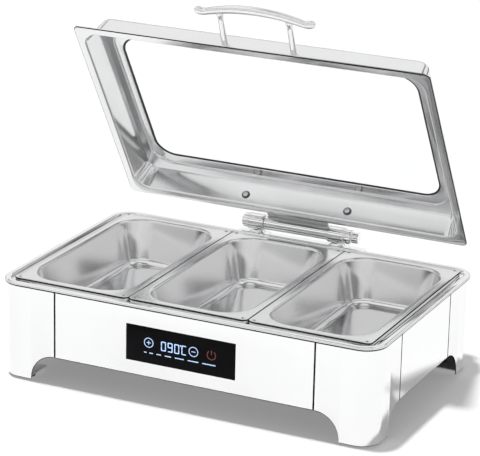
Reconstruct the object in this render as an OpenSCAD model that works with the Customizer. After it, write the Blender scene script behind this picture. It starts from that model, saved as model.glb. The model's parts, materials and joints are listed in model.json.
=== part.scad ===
// Electric buffet server: a water bath with three food pans on four corner legs,
// a touch control on the front and a glass lid on a damped roller hinge.
// +X right, +Y back, +Z up, with the floor at zero.

/* [Body] */
// Width across the side panels
body_w = 556; // [540:1:600]
// Depth across the front and rear panels
body_d = 350; // [346:1:356]
// Height of the food pan flanges above the floor
deck_z = 143; // [138:1:150]
// Height of the lower edge of the panels
skirt_z = 41; // [36:1:46]
// Corner radius of the body
corner_r = 28; // [22:1:32]
// Thickness of the body sheets
sheet = 1; // [0.8:0.1:1.2]
// Width of each corner leg on the front and rear
leg_w = 84; // [70:1:90]
// Width of each corner leg on the sides
leg_d = 86; // [70:1:90]
// Open seam between a leg and the next panel
seam = 2; // [1:0.5:3]
// Width of a foot where it reaches the floor
foot_w = 48; // [42:1:54]

/* [Rim] */
// How far the rim stands out past the panels
rim_out = 4; // [3:0.5:5]
// Width of the rim bead
bead_w = 10; // [9:0.5:11]

/* [Pans] */
// Width of one food pan over its flange
pan_w = 176; // [174:1:176]
// Length of one food pan over its flange
pan_d = 325; // [320:1:325]
// Depth of the food pans
pan_depth = 65; // [50:1:66]
// Depth of the water pan
bath_depth = 72; // [71:1:74]
// Draft of the pan walls from upright, in degrees
draft = 12; // [10:1:12]
// Gap between neighbouring pans
pan_gap = 0.8; // [0.4:0.1:1]

/* [Lid] */
// Width of the lid over its flange
lid_w = 529.5; // [520:0.5:530]
// Depth of the lid over its flange
lid_d = 338; // [336:1:340]
// Height of the lid above its own flange
lid_h = 45.5; // [44:0.5:50]
// Width of the window
window_w = 448; // [400:1:450]
// Depth of the window
window_d = 240; // [200:1:244]
// Angle that the lid stands open
lid_open = 58; // [0:1:90]

/* [Control] */
// Width of the control glass
glass_w = 162; // [140:1:170]
// Height of the control glass
glass_h = 51; // [46:1:54]
// Middle of the control glass above the floor
glass_z = 87; // [84:1:88]

/* [Hidden] */

sweep_fn = 32;
fine_fn = 48;
// Centre of the open part's footprint box
base_y = -18;

// Rim and deck
rim_w = body_w + 2 * rim_out;
rim_d = body_d + 2 * rim_out;
rim_low = deck_z - 7;
ledge_z = deck_z - 5;
bead_top = deck_z - 0.5;

// Pans
flange_z = deck_z - 4;
bend_r = 4;
pitch = pan_w + pan_gap;
pan_open_w = pan_w - 20;
pan_open_d = pan_d - 21;
pan_corner = 45;
bath_open_w = 2 * pitch + pan_open_w + 8.4;
bath_open_d = pan_open_d + 8;
bath_corner = 48;
bath_w = bath_open_w + 24;
bath_d = bath_open_d + 22;

// Inner shell
shell_w = body_w - 2 * sheet;
shell_d = body_d - 2 * sheet;

// Heater, from the plate down
plate_top = deck_z - 4 - bath_depth - 1.4;
tube_r = 3.2;
plate_t = 2;
tube_z = plate_top - plate_t - tube_r - 0.05;
tray_z = 50;

// Control
glass_x = -1.6;
glass_t = 2.5;
glass_front = -body_d / 2 - 0.8;
glass_back = glass_front + glass_t;
shell_inner_y = -(shell_d / 2 - sheet);

// Rear inlet
inlet_x = 150;
inlet_z = 84;

// Hinge
axis_y = 202;
axis_z = deck_z + 7;
shaft_r = 5;
barrel_r = 10;
barrel_x0 = -54.6;
barrel_x1 = 45.2;
collar_r = 12;
shelf_top = deck_z - 11;

// Lid, in its closed place
lid_z = deck_z + 0.8;
lid_back = axis_y - 30.5;
lid_y = lid_back - lid_d / 2;
lid_flange = 11.75;
lid_corner = 35;
flange_corner = 8;
lean = 11.3;
lid_bend = 6;
bolt_x = 80;
bolt_up = 15;

// Handle
handle_x = 14.5;
post_gap = 102;
post_up = 10;
post_len = 56.4;

// ---------- shared shapes ----------

module place() {
    translate([0, base_y, 0]) children();
}

// Turns the closed lid about the hinge axis to its open place
module opened() {
    place() translate([0, axis_y, axis_z]) rotate([-lid_open, 0, 0])
        translate([0, -axis_y, -axis_z]) children();
}

module rounded(w, d, r) {
    square([w - 2 * r, d], center = true);
    square([w, d - 2 * r], center = true);
    for (x = [-1, 1], y = [-1, 1])
        translate([x * (w / 2 - r), y * (d / 2 - r)]) circle(r, $fn = sweep_fn);
}

module plate(w, d, r, z0, z1) {
    translate([0, 0, z0]) linear_extrude(z1 - z0) rounded(w, d, r);
}

module ring(w, d, r, wall, z0, z1) {
    translate([0, 0, z0]) linear_extrude(z1 - z0) difference() {
        rounded(w, d, r);
        rounded(w - 2 * wall, d - 2 * wall, r - wall);
    }
}

// Carries a profile round a rounded rectangle. In the profile x is the distance out
// from the corner centres and y is the height.
module sweep_round(w, d, r) {
    for (k = [0:3]) {
        sx = (k == 0 || k == 3) ? 1 : -1;
        sy = k < 2 ? 1 : -1;
        translate([sx * (w / 2 - r), sy * (d / 2 - r), 0]) rotate(90 * k)
            rotate_extrude(angle = 90, $fn = sweep_fn) children();
    }
    for (a = [0, 180]) {
        rotate(a) translate([w / 2 - r, 0, 0]) rotate([90, 0, 0])
            linear_extrude(d - 2 * r, center = true) children();
        rotate(a + 90) translate([d / 2 - r, 0, 0]) rotate([90, 0, 0])
            linear_extrude(w - 2 * r, center = true) children();
    }
}

// Points along an arc from one angle to another
function arc(c, r, a0, a1, n = 5) =
    [for (i = [0:n]) let (a = a0 + (a1 - a0) * i / n) c + r * [cos(a), sin(a)]];

// Drawn bowl: rolled edge, drafted wall, round foot and floor
module bowl(w, d, r, depth, foot_r, t, top) {
    run = (depth - (bend_r + foot_r) * (1 - sin(draft))) / cos(draft);
    n = [-cos(draft), sin(draft)];
    edge = [r, top - bend_r];
    foot = edge + (bend_r + foot_r) * n + run * [-sin(draft), -cos(draft)];
    sweep_round(w, d, r)
        polygon(concat(
            arc(edge, bend_r, 90, 180 - draft, 4), arc(foot, foot_r, -draft, -90),
            arc(foot, foot_r + t, -90, -draft), arc(edge, bend_r - t, 180 - draft, 90, 4)));
    plate(w - 2 * r + 2 * foot[0], d - 2 * r + 2 * foot[0], foot[0], top - depth - t, top - depth);
}

module screw(head_r, head_h, shank_r, length) {
    cylinder(r = head_r, h = head_h, $fn = 20);
    translate([0, 0, -length]) cylinder(r = shank_r, h = length + 0.1, $fn = 16);
}

function unit(v) = v / norm(v);

// Direction square to the joint at one point of a path
function joint_dir(path, i) = i == len(path) - 1 ? unit(path[i] - path[i - 1])
    : unit(unit(path[i + 1] - path[i]) + unit(path[i] - path[i - 1]));

function first_ring(p, d, r, n) =
    let (u = unit(cross(d, abs(d[2]) < 0.9 * norm(d) ? [0, 0, 1] : [1, 0, 0])), v = unit(cross(d, u)))
    [for (i = [0:n - 1]) p + r * (cos(360 * i / n) * u + sin(360 * i / n) * v)];

// Each ring is the one before it, carried along its run to the next joint
function rings(path, done) = let (i = len(done)) i == len(path) ? done
    : let (d = path[i] - path[i - 1], m = joint_dir(path, i))
    rings(path, concat(done, [[for (q = done[i - 1]) q + d * ((path[i] - q) * m) / (d * m)]]));

// Tube along straight runs with mitred corners
module tube(path, r, n = 8) {
    all = rings(path, [first_ring(path[0], path[1] - path[0], r, n)]);
    points = [for (ring = all) for (q = ring) q];
    last = n * (len(all) - 1);
    faces = concat(
        [[for (i = [0:n - 1]) i]],
        [[for (i = [n - 1:-1:0]) last + i]],
        [for (k = [0:len(all) - 2], i = [0:n - 1])
            [n * k + i, n * (k + 1) + i, n * (k + 1) + (i + 1) % n, n * k + (i + 1) % n]]);
    polyhedron(points, faces, convexity = 6);
}

// ---------- body ----------

// Drawn rim: outer bead, inner wall and the ledge that the water pan hangs on
module top_frame() {
    r = corner_r + rim_out;
    turn_r = 3;
    outer = [r - turn_r, bead_top - turn_r];
    inner = [r - bead_w + turn_r, bead_top - turn_r];
    lip = r - rim_out - 0.2;
    color("gainsboro") place() {
        sweep_round(rim_w, rim_d, r)
            polygon(concat(
                [[lip, rim_low], [r, rim_low]], arc(outer, turn_r, 0, 90), arc(inner, turn_r, 90, 180),
                [[r - bead_w, ledge_z - sheet], [r - bead_w + sheet, ledge_z - sheet]],
                arc(inner, turn_r - sheet, 180, 90), arc(outer, turn_r - sheet, 90, 0),
                [[r - sheet, rim_low + sheet], [lip, rim_low + sheet]]));
        difference() {
            plate(rim_w - 2 * bead_w, rim_d - 2 * bead_w, r - bead_w, ledge_z - sheet, ledge_z);
            plate(bath_open_w + 2, bath_open_d + 2, bath_corner, ledge_z - 2, ledge_z + 1);
        }
    }
}

panel_half_w = body_w / 2 - leg_w - seam;
panel_half_d = body_d / 2 - leg_d - seam;

module front_panel() {
    color("whitesmoke") place() difference() {
        translate([-panel_half_w, -body_d / 2, skirt_z])
            cube([2 * panel_half_w, sheet, rim_low - skirt_z]);
        control_cut();
    }
}

module control_cut() {
    translate([glass_x - glass_w / 2 - 0.3, -body_d / 2 - 1, glass_z - glass_h / 2 - 0.3])
        cube([glass_w + 0.6, 4, glass_h + 0.6]);
}

module inlet_cut() {
    translate([inlet_x - 14, body_d / 2 - 3, inlet_z - 10.5]) cube([28, 5, 21]);
    for (x = [-20, 20])
        translate([inlet_x + x, body_d / 2 + 1, inlet_z]) rotate([90, 0, 0])
            cylinder(r = 1.7, h = 5, $fn = 16);
}

// Wider clearance round the inlet in the inner wall
module inlet_room() {
    translate([inlet_x - 24, body_d / 2 - 4, inlet_z - 18]) cube([48, 5, 36]);
}

module rear_panel() {
    color("whitesmoke") place() difference() {
        translate([-panel_half_w, body_d / 2 - sheet, skirt_z])
            cube([2 * panel_half_w, sheet, rim_low - skirt_z]);
        inlet_cut();
        shelf_holes();
    }
}

module side_panel(side) {
    color("whitesmoke") place()
        translate([side > 0 ? body_w / 2 - sheet : -body_w / 2, -panel_half_d, skirt_z])
            cube([sheet, 2 * panel_half_d, rim_low - skirt_z]);
}

// Bent corner sheet that runs down to a foot, with a round arch on each face
module leg(sx, sy) {
    arch_r = leg_w - foot_w;
    color("whitesmoke") place() mirror([sx < 0 ? 1 : 0, 0, 0]) mirror([0, sy < 0 ? 1 : 0, 0])
        difference() {
            intersection() {
                ring(body_w, body_d, corner_r, sheet, 3, rim_low);
                translate([body_w / 2 - leg_w, body_d / 2 - leg_d, 0]) cube([leg_w + 1, leg_d + 1, deck_z]);
            }
            translate([body_w / 2 - leg_w, body_d / 2 - corner_r / 2, skirt_z - arch_r])
                rotate([90, 0, 0]) cylinder(r = arch_r, h = corner_r, center = true, $fn = fine_fn);
            translate([body_w / 2 - leg_w - 1, body_d / 2 - corner_r / 2, 0])
                cube([arch_r + 1, corner_r, skirt_z - arch_r]);
            translate([body_w / 2 - corner_r / 2, body_d / 2 - leg_d, skirt_z - arch_r])
                rotate([0, 90, 0]) cylinder(r = arch_r, h = corner_r, center = true, $fn = fine_fn);
            translate([body_w / 2 - corner_r / 2, body_d / 2 - leg_d - 1, 0])
                cube([corner_r, arch_r + 1, skirt_z - arch_r]);
        }
}

// Folded inner wall behind the panels and legs, with a flange for the bottom cover
module inner_shell() {
    color("dimgray") place() difference() {
        union() {
            ring(shell_w, shell_d, corner_r - sheet, sheet, skirt_z + 1, ledge_z - sheet);
            ring(shell_w, shell_d, corner_r - sheet, 14, skirt_z + 1, skirt_z + 2);
        }
        control_cut();
        inlet_room();
        shelf_holes();
        bottom_screw_places() translate([0, 0, -2]) cylinder(r = 1.6, h = 6, $fn = 16);
    }
}

foot_x = body_w / 2 - 31;
foot_y = body_d / 2 - 20;
pad_r = 11;

module foot_places() {
    for (x = [-1, 1], y = [-1, 1]) translate([x * foot_x, y * foot_y, 0]) children();
}

// Gusset plate folded inside each foot, which carries the pad
module foot_plates() {
    color("gainsboro") place() intersection() {
        plate(body_w - 2 * sheet - 0.1, body_d - 2 * sheet - 0.1, corner_r - sheet, 6, 7.5);
        difference() {
            for (x = [-1, 1], y = [-1, 1])
                translate([x * (body_w / 2 - 23), y * (body_d / 2 - 23), 7])
                    cube([46, 46, 8], center = true);
            foot_places() cylinder(r = 3.1, h = 20, $fn = 20);
        }
    }
}

module foot_pads() {
    color("black") place() foot_places() {
        cylinder(r = pad_r, h = 5.95, $fn = 28);
        cylinder(r = 3, h = 9, $fn = 20);
        translate([0, 0, 7.55]) cylinder(r = 4.5, h = 2, $fn = 20);
    }
}

module bottom_screw_places() {
    for (x = [-180, 0, 180], y = [-1, 1])
        translate([x, y * (shell_d / 2 - 8), skirt_z]) children();
    for (x = [-1, 1]) translate([x * (shell_w / 2 - 8), 0, skirt_z]) children();
}

module bottom_cover() {
    slot_w = 5;
    color("silver") place() difference() {
        plate(shell_w - 2, shell_d - 2, corner_r - 2, skirt_z, skirt_z + 0.95);
        for (x = [-4:4], y = [-1, 1])
            translate([x * 26 - slot_w / 2, y * 96 - 30, skirt_z - 1]) cube([slot_w, 60, 3]);
        bottom_screw_places() translate([0, 0, -2]) cylinder(r = 1.7, h = 6, $fn = 16);
    }
}

module bottom_screws() {
    color("silver") place() bottom_screw_places() rotate([180, 0, 0]) screw(3.2, 1.8, 1.5, 8);
}

// ---------- heater ----------

plate_w = 430;
plate_d = 230;

module heat_plate() {
    color("silver") place() plate(plate_w, plate_d, 12, plate_top - plate_t, plate_top);
}

loop_r = 45;
loop_x = 160;
cold_end = 60;
tube_back = 100;

// Bent tubular heater: two long hairpins joined at the back, with cold ends to the rear
module heating_element() {
    color("dimgray") place() translate([0, 0, tube_z]) {
        for (y = [-loop_r, loop_r])
            translate([-loop_x, y, 0]) rotate([0, 90, 0])
                cylinder(r = tube_r, h = 2 * loop_x - (y > 0 ? cold_end : 0), $fn = 16);
        translate([-loop_x, 0, 0]) rotate(90)
            rotate_extrude(angle = 180, $fn = fine_fn) translate([loop_r, 0]) circle(tube_r, $fn = 16);
        translate([loop_x, 0, 0]) rotate(-90)
            rotate_extrude(angle = 90, $fn = fine_fn) translate([loop_r, 0]) circle(tube_r, $fn = 16);
        for (end = [[loop_x - cold_end, loop_r], [loop_x + loop_r, 0]])
            translate([end[0], end[1], 0]) sphere(tube_r, $fn = 16);
        translate([loop_x - cold_end, loop_r, 0]) rotate([-90, 0, 0])
            cylinder(r = tube_r, h = tube_back - loop_r, $fn = 16);
        translate([loop_x + loop_r, 0, 0]) rotate([-90, 0, 0])
            cylinder(r = tube_r, h = tube_back, $fn = 16);
    }
}

module element_clips() {
    grip = tube_r + 0.1;
    color("silver") place() for (x = [-110, 0, 90], y = [-loop_r, loop_r])
        translate([x, y, tube_z]) rotate([90, 0, 90]) translate([0, 0, -5]) linear_extrude(10) {
            difference() {
                translate([-grip - 1, -grip - 1]) square([2 * grip + 2, grip + 1 + tube_r]);
                circle(grip, $fn = 20);
                translate([-grip, 0]) square([2 * grip, grip + 1]);
            }
            for (side = [-1, 1])
                translate([side * (grip + 4.4) - 3.5, tube_r - 1]) square([7, 1]);
        }
}

// Reflector tray, with two notches for the heater's leads
module heat_tray() {
    color("gainsboro") place() difference() {
        union() {
            plate(plate_w + 12, plate_d + 12, 16, tray_z, tray_z + 0.8);
            ring(plate_w + 12, plate_d + 12, 16, 0.8, tray_z, plate_top - 3);
        }
        for (x = [loop_x - cold_end, loop_x + loop_r])
            translate([x - 4, plate_d / 2, tube_z - 4]) cube([8, 12, 20]);
    }
}

module insulation_mat() {
    color("beige") place() plate(plate_w + 8, plate_d + 8, 14, skirt_z + 3.2, tray_z - 0.1);
}

sensor_x = 40;

module temperature_sensor() {
    color("goldenrod") place() translate([sensor_x, 0, plate_top - plate_t - 8.05]) {
        cylinder(r = 5, h = 8, $fn = 24);
        translate([0, 0, 6.8]) cylinder(r = 8, h = 1.2, $fn = 24);
    }
}

module thermal_cutout() {
    color("wheat") place() translate([-sensor_x, 0, plate_top - plate_t - 10.05]) {
        cylinder(r = 8.5, h = 10, $fn = 28);
        translate([-12, -4, 8.8]) cube([24, 8, 1.2]);
    }
}

// ---------- control and power ----------

module control_glass() {
    color("black") place() translate([glass_x, glass_back, glass_z]) rotate([90, 0, 0])
        linear_extrude(glass_t) rounded(glass_w, glass_h, 2);
}

housing_w = 156;
housing_h = 45;
housing_back = -155;

// Plastic tray behind the glass, clipped to the inner shell
module control_housing() {
    color("dimgray") place() translate([glass_x, 0, glass_z]) difference() {
        union() {
            translate([-86, shell_inner_y + 0.02, -30.5]) cube([172, 2, 61]);
            translate([-80.5, glass_back + 0.02, -25]) cube([161, 2, 50]);
            translate([-housing_w / 2, shell_inner_y + 1, -housing_h / 2])
                cube([housing_w, housing_back - shell_inner_y - 1, housing_h]);
        }
        translate([-housing_w / 2 + 2, glass_back - 1, -housing_h / 2 + 2])
            cube([housing_w - 4, housing_back - glass_back - 1, housing_h - 4]);
        translate([-8, housing_back - 3, -6]) cube([16, 4, 12]);
    }
}

board_y = -164;

module board_screw_places() {
    for (x = [-1, 1], z = [-1, 1])
        translate([glass_x + x * 69, board_y, glass_z + z * 15]) rotate([90, 0, 0]) children();
}

module control_board() {
    color("darkgreen") place() difference() {
        translate([glass_x - 74, board_y, glass_z - 19.5]) cube([148, 1.6, 39]);
        board_screw_places() translate([0, 0, -3]) cylinder(r = 1.6, h = 6, $fn = 16);
    }
}

module display_module() {
    color("black") place() translate([-30.5, glass_back + 0.05, glass_z - 6])
        cube([39, board_y - glass_back - 0.1, 18]);
}

module board_screws() {
    color("silver") place() board_screw_places() screw(2.8, 1.6, 1.3, 6.9);
}

power_x = -110;
power_y = body_d / 2 - sheet * 2 - 6;

module standoff_places() {
    for (x = [-1, 1], z = [-1, 1])
        translate([power_x + x * 34, power_y, 84 + z * 19]) rotate([-90, 0, 0]) children();
}

// Relay board on the rear wall
module power_board() {
    color("darkgreen") place() difference() {
        union() {
            translate([power_x - 40, power_y - 1.6, 59]) cube([80, 1.6, 50]);
            translate([power_x - 24, power_y - 15, 66]) cube([20, 14, 28]);
            translate([power_x + 4, power_y - 12, 70]) cube([18, 11, 20]);
        }
        standoff_places() translate([0, 0, -3]) cylinder(r = 1.7, h = 6, $fn = 16);
    }
}

module power_standoffs() {
    color("goldenrod") place() standoff_places() {
        cylinder(r = 3, h = 5.95, $fn = 20);
        translate([0, 0, -1.7]) cylinder(r = 1.6, h = 2, $fn = 16);
        translate([0, 0, -3.65]) cylinder(r = 3, h = 2, $fn = 20);
    }
}

// Appliance inlet with a deep socket open to the rear
module power_inlet() {
    color("black") place() translate([inlet_x, body_d / 2, inlet_z]) difference() {
        union() {
            translate([0, 3, 0]) rotate([90, 0, 0]) linear_extrude(2.95) rounded(50, 26, 4);
            translate([-13.7, -20, -10.2]) cube([27.4, 21, 20.4]);
        }
        translate([-12, -15, -8.5]) cube([24, 20, 17]);
        for (x = [-7, 0, 7]) translate([x - 1.05, -21, x == 0 ? -0.1 : -4.1]) cube([2.1, 8, 4.3]);
        for (x = [-20, 20]) translate([x, 5, 0]) rotate([90, 0, 0]) cylinder(r = 1.7, h = 10, $fn = 16);
    }
}

module inlet_pins() {
    color("silver") place() translate([inlet_x, body_d / 2, inlet_z])
        for (x = [-7, 0, 7]) translate([x - 1, -26, x == 0 ? 0 : -4]) cube([2, 23, 4]);
}

module inlet_screws() {
    color("silver") place() for (x = [-20, 20])
        translate([inlet_x + x, body_d / 2 + 3.05, inlet_z]) rotate([-90, 0, 0]) screw(3, 1.6, 1.5, 8);
}

// Leads inside the body, each a run of straight lengths
lead_r = 1.6;
low_z = 57;
rear_run = 154;
pin_end = 147.2;
leads = [
    [[143, pin_end, 82], [143, pin_end, low_z], [120, rear_run, low_z],
        [-90, rear_run, low_z], [-90, rear_run, 66]],
    [[100, 101.5, tube_z], [100, 148, tube_z], [-120, 148, tube_z], [-120, 152, 66]],
    [[205, 101.5, tube_z], [205, 132, tube_z], [205, 160, low_z], [157, 160, low_z], [157, pin_end, 80]],
    [[-150, 160, 65], [-150, rear_run, low_z], [-247, 150, low_z], [-247, -150, low_z],
        [-230, -160, low_z], [-20, -160, low_z], [glass_x, -150, low_z + 6], [glass_x, -150, 82],
        [glass_x, -158, glass_z]]
];

module wiring() {
    color("firebrick") place() for (lead = leads) tube(lead, lead_r);
}

// ---------- hinge, fixed side ----------

shelf_x = [-84, -30, 30, 84];
shelf_bolt_z = deck_z - 25;
shelf_w = 200;

module shelf_holes() {
    for (x = shelf_x) translate([x, body_d / 2 + 3, shelf_bolt_z]) rotate([90, 0, 0])
        cylinder(r = 2.1, h = 7, $fn = 16);
}

// Folded bracket on the rear panel with a flat top behind the rim
module hinge_shelf() {
    shelf_t = 2;
    reach = axis_y + 13;
    color("gainsboro") place() difference() {
        union() {
            translate([-shelf_w / 2, body_d / 2 + 0.02, shelf_top - 24]) cube([shelf_w, shelf_t, 24]);
            translate([-shelf_w / 2, body_d / 2 + 0.02, shelf_top - shelf_t])
                cube([shelf_w, reach - body_d / 2, shelf_t]);
            translate([-shelf_w / 2, reach - shelf_t, shelf_top - 9]) cube([shelf_w, shelf_t, 9]);
        }
        shelf_holes();
    }
}

module shelf_screws() {
    color("silver") place() for (x = shelf_x)
        translate([x, body_d / 2 + 2.05, shelf_bolt_z]) rotate([-90, 0, 0]) screw(3.8, 2.6, 2, 8);
}

left_collar = [-80.6, -55];
right_collar = [45.6, 71.4];

// Foot, flared neck and collar round the hinge shaft
module hinge_bracket(span) {
    mid = (span[0] + span[1]) / 2;
    wide = span[1] - span[0];
    color("silver") place() difference() {
        union() {
            translate([mid, axis_y - 1, shelf_top + 0.02]) linear_extrude(2.5) rounded(38, 26, 8);
            translate([mid, axis_y, shelf_top + 2]) cylinder(r1 = 12.5, r2 = 9.5, h = 9, $fn = 32);
            translate([span[0], axis_y, axis_z]) rotate([0, 90, 0])
                cylinder(r = collar_r, h = wide, $fn = fine_fn);
        }
        translate([span[0] - 1, axis_y, axis_z]) rotate([0, 90, 0])
            cylinder(r = shaft_r + 0.02, h = wide + 2, $fn = fine_fn);
    }
}

module hinge_shaft() {
    color("silver") place() translate([-86, axis_y, axis_z]) rotate([0, 90, 0])
        cylinder(r = shaft_r, h = 170, $fn = fine_fn);
}

module hinge_cap_left() {
    color("silver") place() translate([left_collar[0] - 0.02, axis_y, axis_z]) rotate([0, -90, 0])
        difference() {
            union() {
                cylinder(r = 11, h = 7, $fn = fine_fn);
                cylinder(r = 8.5, h = 9.4, $fn = fine_fn);
            }
            translate([0, 0, -1]) cylinder(r = shaft_r + 0.02, h = 6.8, $fn = fine_fn);
        }
}

module hinge_cap_right() {
    color("silver") place() translate([right_collar[1] + 0.02, axis_y, axis_z]) rotate([0, 90, 0])
        difference() {
            union() {
                cylinder(r = 10.5, h = 11, $fn = fine_fn);
                cylinder(r = 8, h = 22, $fn = fine_fn);
            }
            translate([0, 0, -1]) cylinder(r = shaft_r + 0.02, h = 14, $fn = fine_fn);
        }
}

// ---------- pans ----------

// Water pan: a flange that hangs on the rim's ledge, and a deep bowl
module water_pan() {
    color("lightgray") place() {
        bowl(bath_open_w, bath_open_d, bath_corner, bath_depth, 14, 1, flange_z);
        difference() {
            plate(bath_w, bath_d, bath_corner + 4, flange_z - 1, flange_z);
            plate(bath_open_w, bath_open_d, bath_corner, flange_z - 2, flange_z + 1);
        }
    }
}

// One-third size food pan: bowl, flat flange and a turned-down lip
module pan(x) {
    t = 0.9;
    color("lightgray") place() translate([x, 0, 0]) {
        bowl(pan_open_w, pan_open_d, pan_corner, pan_depth, 12, t, deck_z);
        difference() {
            plate(pan_w, pan_d, 8, deck_z - t, deck_z);
            plate(pan_open_w, pan_open_d, pan_corner, deck_z - 2, deck_z + 1);
        }
        ring(pan_w, pan_d, 8, 1, flange_z, deck_z);
    }
}

// ---------- lid ----------

// Pressed cover: flange with a turned edge, leaning wall, round shoulder and window opening
module lid_shell() {
    out = lid_corner;
    turn = lid_bend + sheet;
    foot = [out - lid_flange, 0];
    foot_in = lid_flange - 1;
    run = (lid_h - turn * (1 - sin(lean))) / cos(lean);
    shoulder = foot + run * [-sin(lean), cos(lean)] - turn * [cos(lean), sin(lean)];
    wall_in = foot - sheet / cos(lean) * [1, 0];
    wall_out = foot + sheet * [-tan(lean), 1];
    side = lid_w - 2 * out + 2 * shoulder[0];
    deep = lid_d - 2 * out + 2 * shoulder[0];
    color("whitesmoke") opened() translate([0, lid_y, lid_z]) difference() {
        union() {
            sweep_round(lid_w, lid_d, out)
                polygon(concat(
                    [wall_in, foot + [2, 0], foot + [2, sheet], wall_out],
                    arc(shoulder, turn, lean, 90), arc(shoulder, lid_bend, 90, lean)));
            difference() {
                plate(lid_w, lid_d, flange_corner, 0, 3);
                plate(lid_w - 2 * sheet, lid_d - 2 * sheet, flange_corner - sheet, sheet, 4);
                plate(lid_w - 2 * foot_in, lid_d - 2 * foot_in, out - foot_in, -1, 4);
            }
            plate(side, deep, shoulder[0], lid_h - sheet, lid_h);
        }
        plate(window_w + 12, window_d + 12, 36, 30, 60);
        leaf_bolt_places() cylinder(r = 2.6, h = 12, center = true, $fn = 20);
        handle_places() cylinder(r = 2.6, h = 12, center = true, $fn = 20);
    }
}

glass_low = 40.2;

module lid_glass() {
    color([0.8, 0.9, 0.9, 0.4]) opened() translate([0, lid_y, lid_z])
        plate(window_w + 16, window_d + 16, 38, glass_low, glass_low + 3);
}

// Rubber channel round the edge of the glass
module glass_gasket() {
    color("black") opened() translate([0, lid_y, lid_z]) {
        ring(window_w + 20, window_d + 20, 40, 1.95, glass_low - 0.8, glass_low + 4.2);
        ring(window_w + 16.2, window_d + 16.2, 38, 8, glass_low - 0.8, glass_low - 0.05);
        ring(window_w + 16.2, window_d + 16.2, 38, 5, glass_low + 3.05, glass_low + 4.2);
    }
}

// Stepped inner frame that holds the gasket and glass up against the cover
module glass_frame() {
    low = 35.5;
    side = lid_w - 2 * (lid_flange + 8.5);
    deep = lid_d - 2 * (lid_flange + 8.5);
    color("lightgray") opened() translate([0, lid_y, lid_z]) {
        difference() {
            plate(side, deep, 16, low, low + 1);
            plate(window_w + 18, window_d + 30, 32, low - 1, low + 2);
        }
        ring(window_w + 20, window_d + 32, 33, 1, low, glass_low - 0.85);
        difference() {
            plate(window_w + 20, window_d + 32, 33, glass_low - 1.85, glass_low - 0.85);
            plate(window_w, window_d, 30, low, glass_low);
        }
    }
}

// Distance from the middle of the lid to the outer face of its front or back wall
function wall_out(up) = lid_d / 2 - lid_flange - up * tan(lean);

// Places on the outer face of the back wall, with Z square out of it
module leaf_bolt_places() {
    for (x = [-bolt_x, bolt_x])
        translate([x, wall_out(bolt_up), bolt_up]) rotate([lean - 90, 0, 0]) children();
}

// Places on the outer face of the front wall, with Z square out of it
module handle_places() {
    for (x = [-1, 1])
        translate([handle_x + x * post_gap / 2, -wall_out(post_up), post_up])
            rotate([90 - lean, 0, 0]) children();
}

// Tube of the roller hinge, which turns with the lid
module hinge_barrel() {
    color("silver") opened() translate([barrel_x0, axis_y, axis_z]) rotate([0, 90, 0]) difference() {
        cylinder(r = barrel_r, h = barrel_x1 - barrel_x0, $fn = fine_fn);
        translate([0, 0, -1]) cylinder(r = 8.5, h = barrel_x1 - barrel_x0 + 2, $fn = fine_fn);
    }
}

// Damper inside the tube, running on the shaft
module damper_cartridge() {
    color("dimgray") opened() translate([barrel_x0 + 2, axis_y, axis_z]) rotate([0, 90, 0]) difference() {
        cylinder(r = 8.48, h = barrel_x1 - barrel_x0 - 4, $fn = fine_fn);
        translate([0, 0, -1]) cylinder(r = shaft_r + 0.05, h = barrel_x1 - barrel_x0, $fn = fine_fn);
    }
}

leaf_t = 2.5;
leaf_low = 7.2;
leaf_w = 190;
leaf_h = 17;
leaf_gap = 0.05;

// Plate bolted to the lid's back wall, with an arm that meets the top of the roller
module hinge_leaf() {
    arm_w = barrel_x1 - barrel_x0 - 4;
    arm_top = axis_z + barrel_r;
    arm_y = lid_y + wall_out(arm_top - lid_z) + 1;
    color("silver") opened() difference() {
        union() {
            translate([0, lid_y + wall_out(0) + leaf_gap, lid_z]) rotate([lean, 0, 0])
                translate([-leaf_w / 2, 0, leaf_low]) cube([leaf_w, leaf_t, leaf_h]);
            translate([barrel_x0 + 2, arm_y, arm_top - leaf_t]) cube([arm_w, axis_y - 4 - arm_y, leaf_t]);
        }
        translate([0, lid_y, lid_z]) leaf_bolt_places() cylinder(r = 2.6, h = 20, center = true, $fn = 20);
        translate([barrel_x0 - 1, axis_y, axis_z]) rotate([0, 90, 0])
            cylinder(r = barrel_r + 0.02, h = arm_w + 6, $fn = fine_fn);
    }
}

// From the inside out: head, washer, lid wall, leaf and nut
washer_t = 0.9;
washer_in = -sheet - 0.02 - washer_t;
nut_low = leaf_gap + leaf_t + 0.05;

module leaf_bolts() {
    color("silver") opened() translate([0, lid_y, lid_z]) leaf_bolt_places() {
        translate([0, 0, washer_in - 0.02]) rotate([180, 0, 0]) cylinder(r = 4, h = 2, $fn = 24);
        translate([0, 0, washer_in - 1]) cylinder(r = 2.5, h = nut_low + 4 - washer_in, $fn = 20);
        translate([0, 0, nut_low]) cylinder(r = 4.2, h = 3, $fn = 6);
    }
}

module leaf_washers() {
    color("silver") opened() translate([0, lid_y, lid_z]) leaf_bolt_places() translate([0, 0, washer_in])
        difference() {
            cylinder(r = 6, h = washer_t, $fn = 28);
            translate([0, 0, -1]) cylinder(r = 2.6, h = 3, $fn = 20);
        }
}

// ---------- handle ----------

grip_r = 6;
arc_r = 260;
arc_half = 15.8;
tip_r = 20;
tip_turn = 36;
post_base = 0.02;

// Moves to the middle of the grip's arch, in the plane that it bends in
module grip_place() {
    drop = arc_r - sqrt(arc_r * arc_r - post_gap * post_gap / 4);
    translate([handle_x, -wall_out(post_up), post_up]) rotate([90 - lean, 0, 0])
        translate([0, 0, post_base + post_len + grip_r + drop - arc_r]) rotate([90, 0, 0]) children();
}

module grip_arch(r) {
    rotate(90 - arc_half) rotate_extrude(angle = 2 * arc_half, $fn = 180)
        translate([arc_r, 0]) circle(r, $fn = 20);
}

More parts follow.
